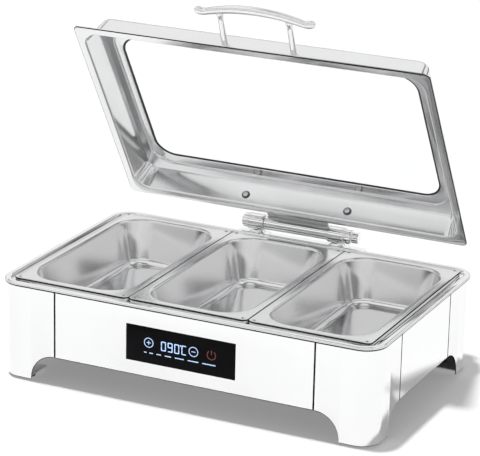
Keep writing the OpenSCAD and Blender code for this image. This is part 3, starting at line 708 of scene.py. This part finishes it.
def build_lid_shell():
    over, under = [[rounded(LID_W + 2 * x, LID_D + 2 * x, r, z) for x, z, r in half]
                   for half in lid_section()]
    hole = ((1 * MM, 0), (0.3 * MM, -0.15 * MM), (0, -0.5 * MM), (0, -1 * MM))
    loops = over + swept(WINDOW_W + 12 * MM, WINDOW_D + 12 * MM, 36 * MM, hole, LID_H) + under
    # The rolled lip round the lid's edge is coloured near black: painted shade.
    lid = bridge("lid_cover", loops, "lid_steel", LID, closed=True, angle=40,
                 painted_dark=lambda k, i: k < LIP_STEPS)
    ride(lid, "lid", "lid_shell", slot="polished_steel")


def build_window():
    pane = (WINDOW_W + 16 * MM, WINDOW_D + 16 * MM, 38 * MM)
    ease = ((-0.5 * MM, 0), (0, 0.5 * MM), (0, 2.5 * MM), (-0.5 * MM, 3 * MM))
    glass = bridge("window", swept(*pane, ease, GLASS_LOW), "clear_glass", LID, caps=True)
    ride(glass, "lid", "lid_glass", slot="clear_glass")
    outer, inner, lip = 2 * MM, -10.8 * MM, -3 * MM
    seal = (
        (outer, -0.8 * MM), (inner, -0.8 * MM), (inner - 0.3 * MM, -0.4 * MM), (inner, -0.05 * MM),
        (0.05 * MM, -0.05 * MM), (0.05 * MM, 3.05 * MM), (lip, 3.05 * MM), (lip, 4.2 * MM),
        (outer, 4.2 * MM),
    )
    rubber = bridge("window_seal", swept(*pane, seal, GLASS_LOW), "black_rubber", LID, closed=True)
    ride(rubber, "lid", "glass_gasket", slot="black_rubber")


def build_window_frame():
    """Stepped inner frame: wide flat outside, a riser and a narrow flat under the glass."""
    t, gap = SHEET, 7.9 * MM
    low, high = 35.5 * MM, GLASS_LOW - 0.85 * MM
    out_w, out_d = LID_W - 2 * (LID_FLANGE + gap), LID_D - 2 * (LID_FLANGE + gap)
    step_w, step_d = WINDOW_W + 20 * MM, WINDOW_D + 32 * MM
    riser = (step_w - 2 * t, step_d - 2 * t, 32 * MM)
    loops = [
        rounded(out_w, out_d, 16 * MM, low + t),
        rounded(out_w, out_d, 16 * MM, low + 0.3 * MM),
        rounded(out_w - 0.6 * MM, out_d - 0.6 * MM, 15.7 * MM, low),
        rounded(step_w + 2 * MM, step_d + 2 * MM, 34 * MM, low),
    ]
    loops += swept(*riser, arc(1 * MM, 1 * MM, 1 * MM, 270, 180, 4), low)
    loops += swept(*riser, arc(-1 * MM, -1 * MM, 1 * MM, 0, 90, 4), high - t)
    loops += [
        rounded(WINDOW_W + 1 * MM, WINDOW_D + 1 * MM, 30.5 * MM, high - t),
        rounded(WINDOW_W, WINDOW_D, 30 * MM, high - t + 0.4 * MM),
        rounded(WINDOW_W, WINDOW_D, 30 * MM, high),
        rounded(step_w, step_d, 33 * MM, high),
        rounded(step_w, step_d, 33 * MM, low + t),
    ]
    frame_piece = bridge("window_frame", loops, "lid_steel", LID, closed=True, angle=30)
    ride(frame_piece, "lid", "glass_frame", slot="polished_steel")


# ---------- control ----------


def slab(name, box, corner, back, front, ease, material):
    """An upright plate with eased front edges. box is (x0, x1, z0, z1)."""
    x0, x1, z0, z1 = box
    middle = ((x0 + x1) / 2, (z0 + z1) / 2)
    loops = []
    for y, inset in ((back, 0), (front + ease, 0), (front + ease * 0.3, ease * 0.3), (front, ease)):
        loop = rounded(x1 - x0 - 2 * inset, z1 - z0 - 2 * inset, corner - inset, 0, 6, middle)
        loops.append([Vector((p.x, y, p.y)) for p in loop])
    return bridge(name, loops, material, caps=True)


# The face of the control glass: x to the right, y up and z out of it
FACE = Matrix.Translation((0, glass_lo.y, 0)) @ Matrix.Rotation(math.radians(90), 4, "X")
MARK_IN, MARK_H = -0.02, 0.05  # mm: a mark starts inside the glass and stands up this far


def mark_prism(outline):
    """A thin raised mark on the control glass, from an outline in millimetres."""
    loops = [[Vector((x * MM, z * MM, h * MM)) for x, z in outline] for h in (MARK_IN, MARK_H)]
    return skin(loops, caps=True), Matrix.Identity(4)


def mark_bar(x0, x1, z0, z1):
    """A bar with cut corners."""
    c = 0.25 * min(x1 - x0, z1 - z0)
    return mark_prism((
        (x0 + c, z0), (x1 - c, z0), (x1, z0 + c), (x1, z1 - c),
        (x1 - c, z1), (x0 + c, z1), (x0, z1 - c), (x0, z0 + c),
    ))


def mark_ring(x, z, radius, stroke, start=0.0, turn=360.0, steps=48):
    """A ring, or an arc where the turn is under a whole circle."""
    inner = radius - stroke
    loops = []
    whole = turn >= 360
    for i in range(steps if whole else steps + 1):
        a = math.radians(start + turn * i / steps)
        loop = []
        for r, h in ((inner, MARK_IN), (radius, MARK_IN), (radius, MARK_H), (inner, MARK_H)):
            loop.append(Vector(((x + r * math.cos(a)) * MM, (z + r * math.sin(a)) * MM, h * MM)))
        loops.append(loop)
    return skin(loops, whole, not whole), Matrix.Identity(4)


SEGMENTS = {"0": "abcdef", "9": "abcdfg", "C": "adef"}
DIGIT_LOW, DIGIT_H, DIGIT_W, STROKE = 83.0, 13.4, 7.4, 1.4  # mm
LEVEL_SPANS = (
    (-55.2, -51.3), (-47.2, -41.8), (-36.7, -29.7), (-24.1, -14.6), (-9.1, 4.5), (10, 25.8),
    (31.6, 51.1),
)


def digit(glyph, x):
    """The lit bars of one seven-segment figure."""
    z, mid, top = DIGIT_LOW, DIGIT_LOW + DIGIT_H / 2, DIGIT_LOW + DIGIT_H
    x1, gap, half = x + DIGIT_W, 0.5, STROKE / 2
    bars = {
        "a": (x + gap, x1 - gap, top - STROKE, top),
        "g": (x + gap, x1 - gap, mid - half, mid + half),
        "d": (x + gap, x1 - gap, z, z + STROKE),
        "f": (x, x + STROKE, mid + 0.2, top - gap),
        "b": (x1 - STROKE, x1, mid + 0.2, top - gap),
        "e": (x, x + STROKE, z + gap, mid - 0.2),
        "c": (x1 - STROKE, x1, z + gap, mid - 0.2),
    }
    return [mark_bar(*bars[key]) for key in SEGMENTS[glyph]]


def build_control():
    """The control glass and its lit marks, in millimetres from the middle and the ground."""
    box = (glass_lo.x, glass_hi.x, glass_lo.z, glass_hi.z)
    face = slab("control_face", box, 2 * MM, glass_hi.y, glass_lo.y, 0.5 * MM, "touch_glass")
    ride(face, ROOT, "control_glass", slot="touch_glass")
    figures = digit("0", -29.9) + digit("9", -20.0) + digit("0", -10.1) + digit("C", 0.6)
    figures.append(mark_ring(-0.9, 95.2, 1.1, 0.6, steps=16))
    plus = [mark_ring(-48.3, 91, 7, 1), mark_bar(-51.3, -45.3, 90.5, 91.5)]
    plus.append(mark_bar(-48.8, -47.8, 88, 94))
    minus = [mark_ring(18.3, 90.3, 7, 1), mark_bar(15.3, 21.3, 89.8, 90.8)]
    power = [mark_ring(44.8, 90.4, 6.8, 1.3, 125, 290), mark_bar(44.15, 45.45, 90.8, 97.6)]
    levels = [mark_bar(a, b, 76, 77.3) for a, b in LEVEL_SPANS]
    for name, marks, material in (
        ("display_figures", figures, WHITE_LIT), ("plus_key", plus, WHITE_LIT),
        ("minus_key", minus, WHITE_LIT), ("power_key", power, RED_LIT),
        ("level_marks", levels, WHITE_LIT),
    ):
        ride(gather(name, marks, material, FACE, angle=20), ROOT, slot="touch_glass")


# ---------- feet ----------


def build_feet():
    """Four rubber pads, each with a neck that holds it in its gusset."""
    profile = (
        (9.8, 0), (10.7, 0.3), (11, 1), (11, 4.9), (10.4, 5.9), (3, 5.95), (3, 7.5), (4.5, 7.6),
        (4.2, 9.4), (3.4, 9.5),
    )
    x, y = BODY_W / 2 - 31 * MM, BODY_D / 2 - 20 * MM
    pads = []
    for sx in (-1, 1):
        for sy in (-1, 1):
            place = Matrix.Translation((sx * x, BASE_Y + sy * y, 0))
            pads.append((turned(profile, 36), place))
    ride(gather("foot_rubber", pads, "black_rubber"), ROOT, "foot_pads", slot="black_rubber")


# ---------- fasteners ----------


def screw(head_r, head_h, shank_r, length, socket):
    """Domed head with a hexagon socket, on a plain shank. The head stands up from zero."""
    return turned((
        (socket, head_h * 0.35, HEX), (socket, head_h - 0.15, HEX), (socket * 1.15, head_h),
        (head_r * 0.72, head_h * 0.97), (head_r * 0.93, head_h * 0.72), (head_r, head_h * 0.35),
        (head_r, 0.02), (head_r * 0.96, 0), (shank_r, 0), (shank_r, 0.4 - length),
        (shank_r * 0.8, -length),
    ), 36)


def wall_out(up):
    """From the middle of the lid to the outer face of its front or back wall, in millimetres."""
    return (LID_D / 2 - LID_FLANGE) / MM - up * math.tan(LEAN)


def wall_place(x, y, z, turn):
    """A place on a slanted wall of the closed lid, with Z square out of the wall. turn stands it
    over from upright, in degrees."""
    spin = Matrix.Rotation(math.radians(turn), 4, "X")
    return LID @ Matrix.Translation((x * MM, y * MM, z * MM)) @ spin


def handle_place(side):
    """Where a handle post meets the lid's front wall. Side 0 is midway between the posts."""
    x = HANDLE_X + side * POST_X
    return wall_place(x, -wall_out(HANDLE_UP), HANDLE_UP, 90 - math.degrees(LEAN))


def from_inside(place, sink):
    """The same place facing the other way, sunk this many millimetres through the sheet."""
    return place @ Matrix.Translation((0, 0, -sink * MM)) @ Matrix.Rotation(math.pi, 4, "X")


def build_fasteners():
    bolts, washers = [], []
    nut = ((2.4, 2.6), (3.9, 2.6, HEX), (4.2, 2.9, HEX), (4.2, 5.2, HEX), (3.6, 5.6), (2.4, 5.6))
    ring = ((2.6, -1.92), (5.8, -1.92), (6, -1.8), (6, -1.14), (5.8, -1.02), (2.6, -1.02))
    for x in (-80, 80):
        place = wall_place(x, wall_out(15), 15, math.degrees(LEAN) - 90)
        bolts.append((screw(4, 2, 2.5, 8.6, 2.1), from_inside(place, 1.94)))
        bolts.append((turned(nut, 36), place))
        washers.append((turned(ring, 36, True), place))
    posts = [(screw(4, 2, 2, 13.8, 2.1), from_inside(handle_place(side), 1.02)) for side in (-1, 1)]
    back = BASE_Y + BODY_D / 2
    turn = Matrix.Rotation(math.radians(-90), 4, "X")

    def on_rear(x, out, z):
        return Matrix.Translation((x * MM, back + out * MM, z)) @ turn

    shelf = [(screw(3.8, 2.6, 2, 8, 2), on_rear(x, 2.05, DECK - 25 * MM)) for x in (-84, -30, 30, 84)]
    inlet = [(screw(3, 1.6, 1.5, 8, 1.5), on_rear(x, 3.05, 84 * MM)) for x in (130, 170)]
    for name, skins, material, body, node in (
        ("lid_bolts", bolts, "fastener_steel", "lid", "leaf_bolts"),
        ("lid_washers", washers, "washer_steel", "lid", "leaf_washers"),
        ("handle_bolts", posts, "fastener_steel", "lid", "handle_screws"),
        ("shelf_bolts", shelf, "fastener_steel", ROOT, "shelf_screws"),
        ("inlet_bolts", inlet, "fastener_steel", ROOT, "inlet_screws"),
    ):
        ride(gather(name, skins, material), body, node, slot="fastener_steel")


# ---------- hinge ----------

# The hinge's axis as the Z of its turned parts, so that their heights run to the right
AXIS = Matrix.Translation((0, HINGE.y, HINGE.z)) @ Matrix.Rotation(math.radians(90), 4, "Y")
BORE = 5.05


def collar_profile(x0, x1, r, bore):
    """Closed section of a collar with rounded shoulders and a turned groove near each end."""
    e, low = 1.2, r - 0.5
    return (
        (bore, x0), (r - e, x0), (r - 0.35 * e, x0 + 0.35 * e), (r, x0 + e), (r, x0 + 3.2),
        (low, x0 + 3.5), (low, x0 + 4), (r, x0 + 4.3), (r, x1 - 4.3), (low, x1 - 4),
        (low, x1 - 3.5), (r, x1 - 3.2), (r, x1 - e), (r - 0.35 * e, x1 - 0.35 * e), (r - e, x1),
        (bore, x1),
    )


def build_hinge():
    """Two collars on their stands, the lid's roller between them, a plain left cap and a
    knurled right knob. Turned parts are in millimetres."""
    neck = ((12.5, 2), (12.5, 2.6), (11, 4), (9.8, 6), (9.3, 8), (9.5, 9.6), (9.2, 10))
    for side, (x0, x1) in (("left", (-80.6, -55)), ("right", (45.6, 71.4))):
        parts = [(turned(collar_profile(x0, x1, 12, BORE), 64, True), AXIS)]
        base = Matrix.Translation(((x0 + x1) / 2 * MM, HINGE.y, DECK - 11 * MM))
        parts.append((turned(neck, 40), base))
        sole = [rounded((38 - 2 * a) * MM, (26 - 2 * a) * MM, (8 - a) * MM, z * MM, 8, (0, -1 * MM))
                for a, z in ((0.1, 0.02), (0, 0.3), (0, 1.9), (0.5, 2.5))]
        parts.append((skin(sole, caps=True), base))
        bracket = gather(f"hinge_stand_{side}", parts, "hinge_steel")
        ride(bracket, ROOT, f"hinge_bracket_{side}", slot="hinge_steel")
    roller = (
        (8.5, -54.6), (9.4, -54.6), (10, -54), (10, -51.6), (9.7, -51.3), (9.7, -50.8),
        (10, -50.5), (10, 41.1), (9.7, 41.4), (9.7, 41.9), (10, 42.2), (10, 44.6), (9.4, 45.2),
        (8.5, 45.2),
    )
    left = (
        (BORE, -80.62), (10.4, -80.62), (11, -81.2), (11, -87), (10.4, -87.6), (8.5, -87.62),
        (8.5, -89.4), (7.8, -90), (0.5, -90.02), (0.5, -86.42), (BORE, -86.42),
    )
    dent = 0.94
    right = (
        (BORE, 71.42), (10, 71.42), (10.5, 72), (10.5, 73.2), (9.9, 73.5), (9.9, 74),
        (10.5, 74.3, dent), (10.5, 81.6, dent), (10, 82.3), (8, 82.42), (7.5, 82.8), (7.5, 83.6),
        (8, 84, dent), (8, 92.3, dent), (7.2, 93.4), (0.5, 93.42), (0.5, 84.42), (BORE, 84.42),
    )
    for name, profile, steps, angle, body, node in (
        ("hinge_roller", roller, 72, 35, "lid", "hinge_barrel"),
        ("hinge_end_left", left, 64, 35, ROOT, "hinge_cap_left"),
        ("hinge_end_right", right, 64, 25, ROOT, "hinge_cap_right"),
    ):
        piece = gather(name, [(turned(profile, steps, True), AXIS)], "hinge_steel", angle=angle)
        ride(piece, body, node, slot="hinge_steel")


# ---------- handle ----------

# All in millimetres and degrees
POST_BASE, POST_LEN = 0.02, 56.4
GRIP_R, NECK_R, BALL_R = 6, 4.9, 5.6  # the bar at its middle, before its tips and at them
ARC_R, ARC_HALF, TIP_R, TIP_TURN = 260, 15.8, 20, 36


def tip_point(side, turn):
    """A point on the bar's tip, which turns up past the end of the main arc."""
    a = math.radians(90 - ARC_HALF)
    x = ARC_R + TIP_R - TIP_R * math.cos(turn)
    y = -TIP_R * math.sin(turn)
    px, py = x * math.cos(a) - y * math.sin(a), x * math.sin(a) + y * math.cos(a)
    return Vector((side * px * MM, py * MM, 0))


def build_posts():
    top = POST_BASE + POST_LEN
    post = (
        (2.1, POST_BASE), (7.4, POST_BASE), (8, POST_BASE + 0.5), (7.9, POST_BASE + 1.2),
        (6.4, POST_BASE + 2.4), (5.1, POST_BASE + 4.2), (4.4, POST_BASE + 6.4),
        (4.2, POST_BASE + 9), (4.2, top - 10), (4.5, top - 6), (5.1, top - 2.4),
        (5.5, top - 0.2), (5.5, top + 1.6), (4.6, top + 2.2), (0.6, top + 2.2), (0.6, 16),
        (2.1, 15),
    )
    posts = [(turned(post, 48, True), handle_place(side)) for side in (-1, 1)]
    ride(gather("handle_rods", posts, "rod_steel"), "lid", "handle_posts", slot="hinge_steel")


def build_grip():
    """The bar: a shallow arc over the posts, thickest at its middle, with upturned round tips."""
    drop = ARC_R - math.sqrt(ARC_R ** 2 - POST_X ** 2)
    above = POST_BASE + POST_LEN + GRIP_R + drop - ARC_R
    centre = handle_place(0) @ Matrix.Translation((0, 0, above * MM))
    centre = centre @ Matrix.Rotation(math.radians(90), 4, "X")
    steps, tips, caps = 40, 12, 7
    full, cap_run = math.radians(TIP_TURN), BALL_R / TIP_R
    path, sizes = [], []
    for i in range(caps):
        t = i / caps * math.pi / 2
        path.append(tip_point(-1, full + cap_run * math.cos(t)))
        sizes.append(max(BALL_R * math.sin(t), 0.3))
    for i in range(tips + 1):
        u = i / tips
        path.append(tip_point(-1, full * (1 - u)))
        sizes.append(BALL_R - (BALL_R - NECK_R) * math.sin(math.pi * u / 2) ** 2)
    for i in range(1, steps):
        u = i / steps
        a = math.radians(90 + ARC_HALF * (1 - 2 * u))
        path.append(Vector((ARC_R * math.cos(a) * MM, ARC_R * math.sin(a) * MM, 0)))
        sizes.append(NECK_R + (GRIP_R - NECK_R) * math.sin(math.pi * u) ** 0.8)
    for i in range(tips + 1):
        u = i / tips
        path.append(tip_point(1, full * u))
        sizes.append(NECK_R + (BALL_R - NECK_R) * math.sin(math.pi * u / 2) ** 2)
    for i in range(1, caps + 1):
        t = i / caps * math.pi / 2
        path.append(tip_point(1, full + cap_run * math.sin(t)))
        sizes.append(max(BALL_R * math.cos(t), 0.3))
    grip = tube("handle_bar", path, [r * MM for r in sizes], "grip_steel", centre)
    ride(grip, "lid", "handle_grip", slot="hinge_steel")


# ---------- pan marks ----------


def build_pan_marks():
    """Small pressed stops near the corners of each pan's flange."""
    ring = ((1.5, -0.05), (1.5, 0.05), (1.9, 0.28), (2.3, 0.3), (2.7, 0.1), (2.8, -0.05))
    well = ((1.5, -0.05), (1.45, 0.06), (0.8, 0.03))
    out, back = 80 * MM, PAN_D / 2 - 6 * MM
    for k, side in ((-1, "left"), (0, "centre"), (1, "right")):
        places = [Matrix.Translation((k * PITCH + sx * out, BASE_Y + sy * back, DECK))
                  for sx in (-1, 1) for sy in (-1, 1)]
        rims = [(turned(ring, 24, True), place) for place in places]
        wells = [(turned(well, 24), place) for place in places]
        pan = f"pan_{side}"
        ride(gather(f"pan_stops_{side}", rims, "pan_steel"), pan, slot="pan_steel")
        # The wells are coloured near black: painted shade in the pressed stops.
        ride(gather(f"pan_stop_wells_{side}", wells, "edge_steel"), pan, slot="pan_steel")


# ---------- finish ----------


def apply_slots():
    """Gives every carried-over CAD node the material of its slot in the record, but for three: the
    hinge leaf and the foot plates, whose finish differs from the rest of their slot, and the inner
    shell, which is near black as painted shade in the seams."""
    slots = {s["node"]: s["material_slot"] for s in frame["record"]["subparts"]}
    own = {"hinge_leaf": "leaf_steel", "foot_plates": "gusset_steel", "inner_shell": "edge_steel"}
    for node, obj in frame["nodes"].items():
        obj.data.materials.clear()
        obj.data.materials.append(MATERIALS[own.get(node, slots[node])])


def build_camera():
    """Camera at the viewing angle: 25 degrees round to the right and 18 up."""
    right = Vector((0.9009, 0.4335, 0.0219))
    up = Vector((-0.1548, 0.2739, 0.9492))
    back = Vector((0.4055, -0.8586, 0.3138))
    data = bpy.data.cameras.new("camera")
    data.sensor_width = 36
    data.lens = 182.85
    data.clip_end = 60
    camera = put_in_scene("camera", data)
    turn = Matrix((right, up, back)).transposed().to_4x4()
    camera.matrix_world = Matrix.Translation((1.3533, -2.8674 + BASE_Y, 1.257)) @ turn
    bpy.context.scene.camera = camera


def build_floor():
    half = 30
    points = [(-half, -half, 0), (half, -half, 0), (half, half, 0), (-half, half, 0)]
    make("floor", points, [(0, 1, 2, 3)], studio_floor("floor"))


def build_world():
    """Even white light, with a graded surround that only reflections see."""
    world = bpy.data.worlds.new("studio")
    world.use_nodes = True
    bpy.context.scene.world = world
    tree = world.node_tree
    tree.nodes.clear()

    def add(kind):
        return tree.nodes.new("ShaderNode" + kind)

    # brightness of the surround, from straight down at 0 over the horizon to straight up at 1
    stops = (
        (0.0, 0.9), (0.48, 0.6), (0.503, 0.05), (0.545, 0.06), (0.575, 0.9), (0.74, 1.0),
        (0.755, 0.12), (0.785, 0.15), (0.805, 0.98), (0.95, 1.0), (0.966, 0.2), (0.982, 0.2),
        (0.993, 1.0), (1.0, 1.0),
    )
    ramp = add("ValToRGB")
    elements = ramp.color_ramp.elements
    for position, value in stops[1:-1]:
        elements.new(position)
    for element, (position, value) in zip(elements, stops):
        element.position = position
        element.color = (value, value, value, 1)
    split, lift = add("SeparateXYZ"), add("MapRange")
    tree.links.new(add("TexCoord").outputs["Generated"], split.inputs[0])
    lift.inputs["From Min"].default_value = -1
    lift.inputs["From Max"].default_value = 1
    tree.links.new(split.outputs["Z"], lift.inputs["Value"])
    tree.links.new(lift.outputs["Result"], ramp.inputs["Fac"])
    even, graded = add("Background"), add("Background")
    even.inputs["Color"].default_value = (1, 1, 1, 1)
    even.inputs["Strength"].default_value = 0.34
    tree.links.new(ramp.outputs["Color"], graded.inputs["Color"])
    pick = add("MixShader")
    tree.links.new(add("LightPath").outputs["Is Glossy Ray"], pick.inputs["Fac"])
    tree.links.new(even.outputs[0], pick.inputs[1])
    tree.links.new(graded.outputs[0], pick.inputs[2])
    tree.links.new(pick.outputs[0], add("OutputWorld").inputs["Surface"])


def build_lights():
    """One soft overhead light, a little to the left, that metal doesn't mirror."""
    data = bpy.data.lights.new("overhead", "SUN")
    data.energy = 3.2
    data.angle = math.radians(4)
    light = put_in_scene("overhead", data)
    lean, tip = Matrix.Rotation(math.radians(-9), 4, "Y"), Matrix.Rotation(math.radians(2), 4, "X")
    light.matrix_world = lean @ tip
    light.visible_glossy = False


def main():
    build_camera()
    build_world()
    build_lights()
    build_floor()
    build_rim()
    build_panels()
    build_legs()
    build_pans()
    build_lid_shell()
    build_window()
    build_window_frame()
    build_control()
    build_feet()
    build_fasteners()
    build_hinge()
    build_posts()
    build_grip()
    build_pan_marks()
    apply_slots()
    bpy.context.scene.view_settings.view_transform = "Standard"


main()
